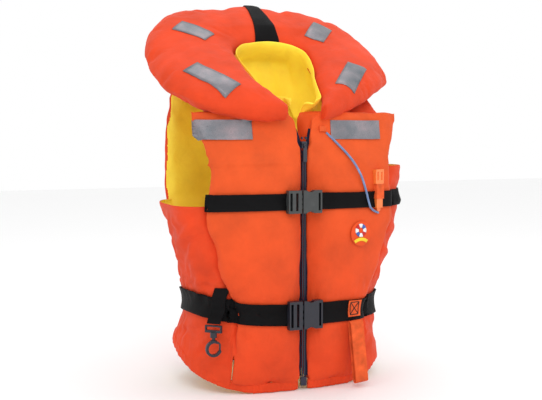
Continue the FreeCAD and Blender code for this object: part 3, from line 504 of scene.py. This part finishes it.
def back_panel():
    parts = ["back_cover", "back_foam", "lining_back"]
    obj = gathered("panel_back", parts, 6 * MM, LAYER_REACH)
    smoothed(obj, 3)
    inflate(obj, 3.0, 0.02, 10, 6 * MM)
    points = positions(obj.data)
    out = 1.4 * MM * noise(points, 90 * MM, 11) + 0.6 * MM * noise(points, 36 * MM, 12)
    out -= 2.5 * MM * hump(points[:, 2], WAIST_Z, 24 * MM) + 1.5 * MM * hump(points[:, 2], CHEST_Z, 18 * MM)
    move(obj, normals(obj.data) * out[:, None])
    return finish_soft(obj, *parts, inside=yellow, limit=-0.3)


def ray_in(tree, angle, z, centre=BODY_CENTRE):
    """How far out a tree's outside is at an angle, or None. 0 is the front, and it turns to +X."""
    away = Vector((math.sin(angle), -math.cos(angle), 0))
    start = Vector((centre.x, centre.y, z)) + away * 0.5
    hit, _, _, distance = tree.ray_cast(start, -away, 0.5)
    return None if hit is None else 0.5 - distance


def round_the_body(radius, angle, z):
    return (BODY_CENTRE.x + radius * math.sin(angle), BODY_CENTRE.y - radius * math.cos(angle), z)


def blurred(grid, rounds):
    """Evens out a table of numbers along both ways."""
    for _ in range(rounds):
        padded = np.pad(grid, 1, mode="edge")
        middle = padded[1:-1, 1:-1]
        up, down = padded[:-2, 1:-1], padded[2:, 1:-1]
        before, after = padded[1:-1, :-2], padded[1:-1, 2:]
        grid = (middle * 2 + up + down + before + after) / 6
    return grid


def filled(values):
    """A row of numbers with its gaps filled from their neighbours."""
    known = [i for i, v in enumerate(values) if v is not None]
    return np.interp(range(len(values)), known, [values[i] for i in known])


def grid_faces(rows, columns):
    return [
        (r * columns + c, r * columns + c + 1, (r + 1) * columns + c + 1, (r + 1) * columns + c)
        for r in range(rows - 1)
        for c in range(columns - 1)
    ]


def cloth_sheet(name, points, rows, columns, thick, outside=orange, inside=yellow):
    """A doubled cloth from rows of points; its second face is on the side away from its normals."""
    obj = polygon_object(name, points, grid_faces(rows, columns), (outside, inside))
    thickness = obj.modifiers.new("thickness", "SOLIDIFY")
    thickness.thickness = thick
    thickness.offset = -1
    thickness.material_offset = 1
    finer = obj.modifiers.new("finer", "SUBSURF")
    finer.levels = finer.render_levels = 1
    return bake(obj)


TUCK = 10 * MM
LIP = 6 * MM
HEM_LAP = 8 * MM
GUSSET_DEGREES = range(36, 150)  # from the front
GUSSET_ROWS = 84
GUSSET_THICK = 2.4 * MM
USUAL_RADIUS = 0.19
NO_HIT_RADIUS = 0.18
EDGE_GAP = 1 * MM
FOLD_DEPTH = 3.0 * MM
FOLD_SINK = 4.2 * MM
FOLD_WIDE, FOLD_FINE = 9 * MM, 5 * MM
FOLD_FINE_SHARE = 0.55
FOLD_SLANT = 0.8
BELT_PULL = 2.5 * MM
HEM_FULLNESS = 2.0 * MM


def gusset(name, side, seed):
    """The soft side below the arm: one cloth in slanting folds, tucked in under the panels."""
    part = f"side_gusset_{name}"
    own = tree_of(nodes[part])
    (_, _, z0), (_, _, z1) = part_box(part)
    angles = [side * math.radians(a) for a in GUSSET_DEGREES]
    heights = np.arange(z0, z1, 4 * MM)
    hits = np.array([[ray_in(own, a, z + 0.1 * MM) is not None for a in angles] for z in heights])
    low = filled([heights[np.argmax(column)] if column.any() else None for column in hits.T]) - HEM_LAP
    rows, columns = GUSSET_ROWS, len(angles)
    share = np.linspace(0, 1, rows)[:, None]
    z = low[None, :] + (z1 - low[None, :]) * share
    radius = np.empty((rows, columns))
    tucked = np.zeros((rows, columns))
    for c, angle in enumerate(angles):
        line = [ray_in(cad_skin, angle, min(h, z1 - EDGE_GAP)) for h in z[:, c]]
        radius[:, c] = filled(line) if any(v is not None for v in line) else NO_HIT_RADIUS
        for r in range(rows):
            inside = max(low[c] + HEM_LAP + 2 * MM, min(z[r, c], z1 - EDGE_GAP))
            if ray_in(own, angle, inside) is None:
                tucked[r, c] = 1
    depth = blurred(tucked, 2)
    loose = 1 - blurred(tucked, 12)
    cells = [(r, c) for r in range(rows) for c in range(columns)]
    flat = np.array([round_the_body(radius[r, c], angles[c], z[r, c]) for r, c in cells])
    arc = np.abs(np.array(angles))[None, :] * USUAL_RADIUS
    slant = z + FOLD_SLANT * arc
    swell = noise(flat, 130 * MM, seed).reshape(rows, columns)
    ripple = noise(flat, 60 * MM, seed + 1).reshape(rows, columns)
    fine = FOLD_FINE_SHARE * np.sin(slant / FOLD_FINE + 3.0 * ripple)
    folds = np.sin(slant / FOLD_WIDE + 2.2 * swell) + fine
    folds *= 1 - 0.85 * hump(z, WAIST_Z + 8 * MM, 32 * MM)
    held = ease((z - low[None, :]) / (45 * MM))
    out = (FOLD_DEPTH * folds - FOLD_SINK) * loose * ease((z1 - z) / (40 * MM)) * held
    out += HEM_FULLNESS * (1 - held)
    out -= BELT_PULL * hump(z, WAIST_Z + 10 * MM, 26 * MM) * loose
    out += 2.0 * MM * hump(z, z1 - LIP, LIP)
    radius = blurred(radius, 2) - 1 * MM - TUCK * depth * (0.3 + 0.7 * held) + out
    points = [round_the_body(radius[r, c], angles[c], z[r, c]) for r, c in cells]
    if side < 0:
        points = [points[r * columns + c] for r in range(rows) for c in reversed(range(columns))]
    obj = cloth_sheet(f"gusset_{name}", points, rows, columns, GUSSET_THICK)
    return finish_soft(obj, part, fill=None, material=None)


def hem_band(name, seed):
    part = f"hem_band_{name}"
    obj = gathered(f"hem_{name}", [part], 2.4 * MM)
    smoothed(obj, 2)
    points = positions(obj.data)
    turn = np.arctan2(points[:, 0], -points[:, 1])
    puckers = np.sin(turn * 95 + 2 * noise(points, 60 * MM, seed))
    out = 0.55 * MM * puckers + 0.5 * MM * noise(points, 30 * MM, seed + 1)
    shift = radial(points) * out[:, None]
    shift[:, 2] = 5 * MM * ease(normals(obj.data)[:, 2] / 0.5)
    move(obj, shift)
    return finish_soft(obj, part, fill=None, cloth_slot="hem_tape")


SEAM_REACH = 5.2 * MM


COLLAR_FRONT = (-145 * MM, 495 * MM)
COLLAR_TILT = math.radians(34)
LOBE_TIP = 23 * MM
NECK_SIDE = 82 * MM
RIM_REACH = 75 * MM
# how far the inner rim moves away from the middle, as (distance up the collar, move), in mm
RIM_MOVES = {
    -1: ((0, 16), (60, 10), (130, 0), (300, 0)),
    1: ((0, 8), (50, 3), (110, -18), (180, -14), (260, 0)),
}


def rim_shift(points):
    """The rims of the lobes lie open at the front, and the wearer's left one leans in further up."""
    along = (points[:, 1] - COLLAR_FRONT[0]) * math.cos(COLLAR_TILT)
    along += (points[:, 2] - COLLAR_FRONT[1]) * math.sin(COLLAR_TILT)
    rim = LOBE_TIP + (NECK_SIDE - LOBE_TIP) * np.clip(along / (195 * MM), 0, 1)
    near = 1 - ease((np.abs(points[:, 0]) - rim) / RIM_REACH)
    shift = np.zeros(len(points))
    for side, moves in RIM_MOVES.items():
        places, steps = zip(*moves)
        own = side * np.interp(along / MM, places, steps) * MM
        shift += own * near * ease(side * points[:, 0] / (12 * MM)) * (side * points[:, 0] > 0)
    return shift


def collar_cushion():
    """The three cushions of the collar, which meet at two sewn valleys."""
    parts = [name for name in nodes if name.startswith(("collar_cover", "collar_foam"))]
    obj = gathered("collar", parts, 5 * MM, SEAM_REACH)
    smoothed(obj, 3)
    inflate(obj, 3.0, 0.03, 14, 6 * MM)
    points = positions(obj.data)
    out = 1.4 * MM * noise(points, 100 * MM, 41) + 0.7 * MM * noise(points, 38 * MM, 42)
    shift = normals(obj.data) * out[:, None]
    shift[:, 0] += rim_shift(points)
    move(obj, shift)
    return finish_soft(obj, *parts)


def yoke(name, seed):
    part = f"shoulder_yoke_{name}"
    obj = gathered(f"yoke_{name}", [part], 3 * MM)
    smoothed(obj, 2)
    points = positions(obj.data)
    move(obj, normals(obj.data) * (0.8 * MM * noise(points, 40 * MM, seed))[:, None])
    return finish_soft(obj, part, fill=None, inside=yellow)


# ---------------------------------------------------------------- the neck lining
NECK_CENTRE = Vector((0, -37 * MM, 0))
LINING_LIFT = 8 * MM
NECK_DROPS = [15, 9, 2, -6, -16, -28, -42, -58, -76, -96, -118, -140]


def neck_lining(behind):
    """The lining inside the neck: it hangs from the collar's inner rim and lies on what is behind it."""
    angles = [math.radians(a) for a in np.linspace(15, 345, 166)]
    rows, columns = len(NECK_DROPS), len(angles)
    radius = np.empty((rows, columns))
    height = np.empty((rows, columns))
    reach = [90 * MM] * columns
    for r, drop in enumerate(NECK_DROPS):
        line = []
        for c, angle in enumerate(angles):
            away = Vector((math.sin(angle), -math.cos(angle), 0))
            for _ in range(3):
                y = NECK_CENTRE.y + away.y * reach[c]
                z = COLLAR_FRONT[1] + (y - COLLAR_FRONT[0]) * math.tan(COLLAR_TILT) + drop * MM
                hit, _, _, distance = behind.ray_cast(Vector((0, NECK_CENTRE.y, z)), away, 0.14)
                if hit is not None:
                    reach[c] = distance
            height[r, c] = z
            line.append(reach[c] if hit is not None else None)
        radius[r] = filled(line) if any(v is not None for v in line) else radius[r - 1]
    radius = blurred(np.minimum(radius, blurred(radius, 6) + 1 * MM), 3) - LINING_LIFT
    height = blurred(height, 2)
    points = []
    for r in range(rows):
        for c, angle in enumerate(angles):
            swell = 1.5 * MM * math.sin(angle * 23 + r * 0.7) * r / rows
            reach_here = radius[r, c] + swell
            x, y = reach_here * math.sin(angle), NECK_CENTRE.y - reach_here * math.cos(angle)
            points.append((x, y, height[r, c]))
    obj = cloth_sheet("lining_neck", points, rows, columns, 1.6 * MM, painted_glow_yellow, painted_glow_yellow)
    return finish_soft(obj, "neck_lining", fill=None, material=None, cloth_slot="lining_cloth")


SIDES = (("right", -1), ("left", 1))
SKIN_NODES = ("front_cover", "side_gusset", "back_cover", "collar_cover")
cad_skin = tree_of(*[node for name, node in nodes.items() if name.startswith(SKIN_NODES)])
soft = []
for name, side in SIDES:
    soft.append(front_panel(name, side, 3 if side < 0 else 5))
    soft.append(gusset(name, side, 17 if side < 0 else 19))
    soft.append(hem_band(name, 23 if side < 0 else 25))
    soft.append(yoke(name, 47 if side < 0 else 49))
soft.append(back_panel())
soft.append(hem_band("back", 27))
soft.append(collar_cushion())

# ---------------------------------------------------------------- thin things laid on the cloth
cloth_skin = tree_of(*soft)
neck_lining(cloth_skin)
REACH = 40 * MM
SPARE_LIFT = 1.2 * MM


def laid(point, most=9 * MM):
    """Moves a point that sits on the CAD model's skin to the same height above the cloth."""
    foot, normal, _, distance = cad_skin.find_nearest(point)
    out = point - foot
    if out.length > 1e-7:
        normal = out.normalized() if out.dot(normal) > 0 else normal
    hit, _, _, _ = cloth_skin.ray_cast(foot + normal * REACH, -normal, 2 * REACH)
    if hit is None:
        return point
    rise = (hit - foot).dot(normal)
    spare = SPARE_LIFT * float(ease((abs(point.x) - 60 * MM) / (40 * MM)))
    return point + normal * (max(-most, min(most, rise)) + spare)


def sliced(name, part, step_x, step_z):
    """A copy of a CAD node's mesh, cut into strips so that it can bend."""
    form = bmesh.new()
    form.from_mesh(nodes[part].data)
    bmesh.ops.remove_doubles(form, verts=form.verts, dist=1e-6)
    low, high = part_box(part)
    for axis, step in ((0, step_x), (2, step_z)):
        if not step:
            continue
        normal = [0, 0, 0]
        normal[axis] = 1
        for i in range(1, int((high[axis] - low[axis]) / step) + 1):
            place = [0, 0, 0]
            place[axis] = low[axis] + i * step
            everything = form.verts[:] + form.edges[:] + form.faces[:]
            bmesh.ops.bisect_plane(form, geom=everything, dist=1e-7, plane_co=place, plane_no=normal)
    mesh = bpy.data.meshes.new(name)
    form.to_mesh(mesh)
    form.free()
    return new_object(name, mesh)


def drape(part, material, step=8 * MM, free_below=None):
    """A thin CAD piece, laid on the cloth. With free_below it moves out as a whole, and hangs free below."""
    obj = sliced(f"{part}_laid", part, step, step)
    mesh = obj.data
    if free_below is None:
        for vert in mesh.vertices:
            vert.co = laid(vert.co)
    else:
        upper = [v for v in mesh.vertices if v.co.z > free_below + 16 * MM]
        shift = sum((laid(v.co) - v.co for v in upper), Vector()) / len(upper)
        for vert in mesh.vertices:
            vert.co += shift * float(ease((vert.co.z - free_below) / (16 * MM)))
    mesh.materials.clear()
    mesh.materials.append(material)
    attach(obj, ROOT)
    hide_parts(part)
    return obj


for place in ("chest", "waist"):
    for name, _ in SIDES:
        drape(f"{place}_belt_{name}", black)
drape("collar_strap", black)
drape("hook_tab", black, step=5 * MM, free_below=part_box("hook_tab")[0][2] + 8 * MM)
anchor = drape("loop_anchor", loop_orange, step=5 * MM)
drape("cord_anchor", loop_orange, step=5 * MM)
badge_ground = drape("badge_patch", threads["orange"], step=5 * MM)
drape("reflectors_chest", reflective)


def collar_patches(part, places):
    """Flat rectangles of tape on the collar: middle (x, y), heading (x, up the slope), length and width."""
    slope = Vector((0, math.cos(COLLAR_TILT), math.sin(COLLAR_TILT)))
    up = Vector((0, -math.sin(COLLAR_TILT), math.cos(COLLAR_TILT)))
    rows, columns = 15, 7
    points, faces = [], []
    for (x, y), heading, long, wide in places:
        middle = Vector((x, y, COLLAR_FRONT[1] + (y - COLLAR_FRONT[0]) * math.tan(COLLAR_TILT)))
        ahead = (Vector((heading[0], 0, 0)) + slope * heading[1]).normalized()
        aside = up.cross(ahead)
        start = len(points)
        for r in range(rows):
            for c in range(columns):
                place = middle + ahead * long * (r / (rows - 1) - 0.5)
                place += aside * wide * (c / (columns - 1) - 0.5)
                hit, normal, _, _ = cloth_skin.ray_cast(place + up * 150 * MM, -up, 0.3)
                points.append(hit + normal * 1.0 * MM)
        faces += [tuple(start + i for i in face) for face in grid_faces(rows, columns)]
    obj = polygon_object(f"{part}_laid", points, faces, (reflective,))
    thickness = obj.modifiers.new("thickness", "SOLIDIFY")
    thickness.thickness = 1 * MM
    thickness.offset = 0
    bake(obj)
    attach(obj, ROOT)
    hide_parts(part)


collar_patches(
    "reflectors_collar_front",
    [
        ((-162 * MM, -84 * MM), (0.56, -0.83), 98 * MM, 38 * MM),
        ((116 * MM, -70 * MM), (-0.6, -0.8), 94 * MM, 38 * MM),
    ],
)
collar_patches(
    "reflectors_collar_upper",
    [
        ((-148 * MM, 58 * MM), (0.7, -0.7), 70 * MM, 36 * MM),
        ((113 * MM, 66 * MM), (-0.6, -0.8), 66 * MM, 40 * MM),
    ],
)

# ---------------------------------------------------------------- embroidery and stitching
def on_front(tree, x, z, lift):
    """The point of a tree that the front shows at x and z, lifted off it."""
    hit, normal, _, _ = tree.ray_cast(Vector((x, -0.5, z)), Vector((0, 1, 0)), 0.6)
    return hit + normal * lift


def sewn_strip(name, tree, rows, material, thick=0.8 * MM):
    """A band of thread on the front of a tree, from rows of (x, z) points."""
    points = [on_front(tree, x, z, thick * 0.75) for row in rows for x, z in row]
    obj = polygon_object(name, points, grid_faces(len(rows), len(rows[0])), (material,))
    thickness = obj.modifiers.new("thickness", "SOLIDIFY")
    thickness.thickness = thick
    thickness.offset = 0
    bake(obj)
    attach(obj, ROOT)
    return obj


def arc_rows(centre, inner, outer, start, end, steps):
    """Rows of an arc band; 0 degrees is up, and it turns to +X."""
    rows = []
    for i in range(steps + 1):
        turn = math.radians(start + (end - start) * i / steps)
        reach = [inner + (outer - inner) * k / 2 for k in range(3)]
        rows.append([(centre[0] + r * math.sin(turn), centre[1] + r * math.cos(turn)) for r in reach])
    return rows


def line_rows(start, end, wide, steps):
    """Rows of a straight line of stitches from one (x, z) point to another."""
    along = Vector((end[0] - start[0], end[1] - start[1])).normalized()
    across = (-along.y * wide / 2, along.x * wide / 2)
    rows = []
    for i in range(steps + 1):
        x = start[0] + (end[0] - start[0]) * i / steps
        z = start[1] + (end[1] - start[1]) * i / steps
        rows.append([(x - across[0], z - across[1]), (x + across[0], z + across[1])])
    return rows


def badge():
    """A life ring over an arc, in coloured thread."""
    (x0, _, z0), (x1, _, z1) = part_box("badge_patch")
    x, z = (x0 + x1) / 2, (z0 + z1) / 2
    skin = tree_of(badge_ground)
    for i in range(8):
        colour = threads[("white", "blue", "white", "red")[i % 4]]
        rows = arc_rows((x, z + 6 * MM), 5 * MM, 12 * MM, 45 * i - 22, 45 * i + 22, 6)
        sewn_strip(f"badge_ring_{i + 1}", skin, rows, colour)
    rows = arc_rows((x, z - 32 * MM), 19 * MM, 25 * MM, -38, 38, 14)
    sewn_strip("badge_arc", skin, rows, threads["yellow"])


def box_stitch():
    """The box and cross that hold the lifting loop on the belt."""
    (x0, _, z0), (x1, _, z1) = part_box("loop_anchor")
    skin = tree_of(anchor)
    inset = 4.5 * MM
    left, right, low, high = x0 + inset, x1 - inset, z0 + inset, z1 - inset
    corners = [(left, low), (right, low), (right, high), (left, high)]
    ends = list(zip(corners, corners[1:] + corners[:1]))
    ends += [(corners[0], corners[2]), (corners[1], corners[3])]
    for i, (start, end) in enumerate(ends):
        rows = line_rows(start, end, 1.3 * MM, 8)
        sewn_strip(f"loop_stitch_{i + 1}", skin, rows, threads["dark"], thick=0.6 * MM)


badge()
box_stitch()

# ---------------------------------------------------------------- hard parts keep their CAD shape
FINISHES = {
    "chest_buckle": grey_plastic,
    "waist_buckle": dark_plastic,
    "hook_eye": dark_plastic,
    "hook_body": dark_plastic,
    "hook_gate": dark_plastic,
    "zip_tape": navy,
    "zip_chain": teeth_plastic,
    "zip_box": teeth_plastic,
    "zip_top": teeth_plastic,
    "zip_slider": zip_metal,
    "zip_pull": zip_metal,
    "whistle": whistle_plastic,
    "whistle_holder": loop_orange,
    "lifting_loop": loop_orange,
}
for node_name, node in nodes.items():
    for prefix, material in FINISHES.items():
        if node_name.startswith(prefix):
            for index in range(max(1, len(node.material_slots))):
                if node.material_slots:
                    node.material_slots[index].material = material
                else:
                    node.data.materials.append(material)

# ---------------------------------------------------------------- the whistle's cord
CORD_POINTS = [
    (42, -131, 463),
    (60, -139, 444),
    (84, -149, 417),
    (102, -152, 388),
    (113, -151, 358),
    (119, -149, 338),
    (125, -149, 322),
    (141, -146, 317),
]
CORD_DIAMETER = 4 * MM


def whistle_cord():
    curve = bpy.data.curves.new("cord_of_whistle", "CURVE")
    curve.dimensions = "3D"
    curve.bevel_depth = CORD_DIAMETER / 2
    curve.bevel_resolution = 6
    curve.resolution_u = 12
    curve.use_fill_caps = True
    spline = curve.splines.new("NURBS")
    spline.points.add(len(CORD_POINTS) - 1)
    for point, place in zip(spline.points, CORD_POINTS):
        point.co = (*[c * MM for c in place], 1)
    spline.order_u = 3
    spline.use_endpoint_u = True
    curve.materials.append(cord_blue)
    obj = new_object("cord_of_whistle", curve)
    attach(obj, ROOT)
    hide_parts("whistle_cord")
    return obj


whistle_cord()


# ---------------------------------------------------------------- floor, light and camera
def studio():
    floor = polygon_object(
        "floor", [(-6, -6, -0.001), (6, -6, -0.001), (6, 6, -0.001), (-6, 6, -0.001)], [(0, 1, 2, 3)]
    )
    material, tree, shader = new_material("floor")
    shader.inputs["Base Color"].default_value = (0.93, 0.93, 0.93, 1)
    shader.inputs["Roughness"].default_value = 0.9
    floor.data.materials.append(material)
    world = bpy.data.worlds.new("studio")
    world.use_nodes = True
    world.node_tree.nodes["Background"].inputs["Color"].default_value = (1, 1, 1, 1)
    world.node_tree.nodes["Background"].inputs["Strength"].default_value = 1.0
    bpy.context.scene.world = world
    bpy.context.scene.view_settings.view_transform = "Standard"


def area_light(name, place, target, size, power):
    light = bpy.data.lights.new(name, "AREA")
    light.shape = "DISK"
    light.size = size
    light.energy = power
    obj = bpy.data.objects.new(name, light)
    bpy.context.scene.collection.objects.link(obj)
    aim(obj, place, target)


def aim(obj, place, target):
    obj.location = place
    obj.rotation_euler = (Vector(target) - Vector(place)).to_track_quat("-Z", "Y").to_euler()


CAMERA_PLACE = (-0.703, -1.657, 0.465)
CAMERA_PITCH = 4.15
CAMERA_LENS = 62.9


def camera():
    data = bpy.data.cameras.new("camera")
    data.lens = CAMERA_LENS
    data.sensor_width = 36
    data.shift_x = -0.009
    obj = bpy.data.objects.new("camera", data)
    bpy.context.scene.collection.objects.link(obj)
    distance = math.hypot(CAMERA_PLACE[0], CAMERA_PLACE[1])
    drop = distance * math.tan(math.radians(CAMERA_PITCH))
    aim(obj, CAMERA_PLACE, (0, 0, CAMERA_PLACE[2] - drop))
    bpy.context.scene.camera = obj


studio()
area_light("key", (-0.9, -2.4, 2.3), (0, 0, 0.35), 1.6, 22)
area_light("fill", (2.2, -1.6, 1.2), (0, 0, 0.35), 1.8, 5)
area_light("top", (0.2, 0.4, 2.6), (0, 0, 0.4), 1.5, 8)
camera()
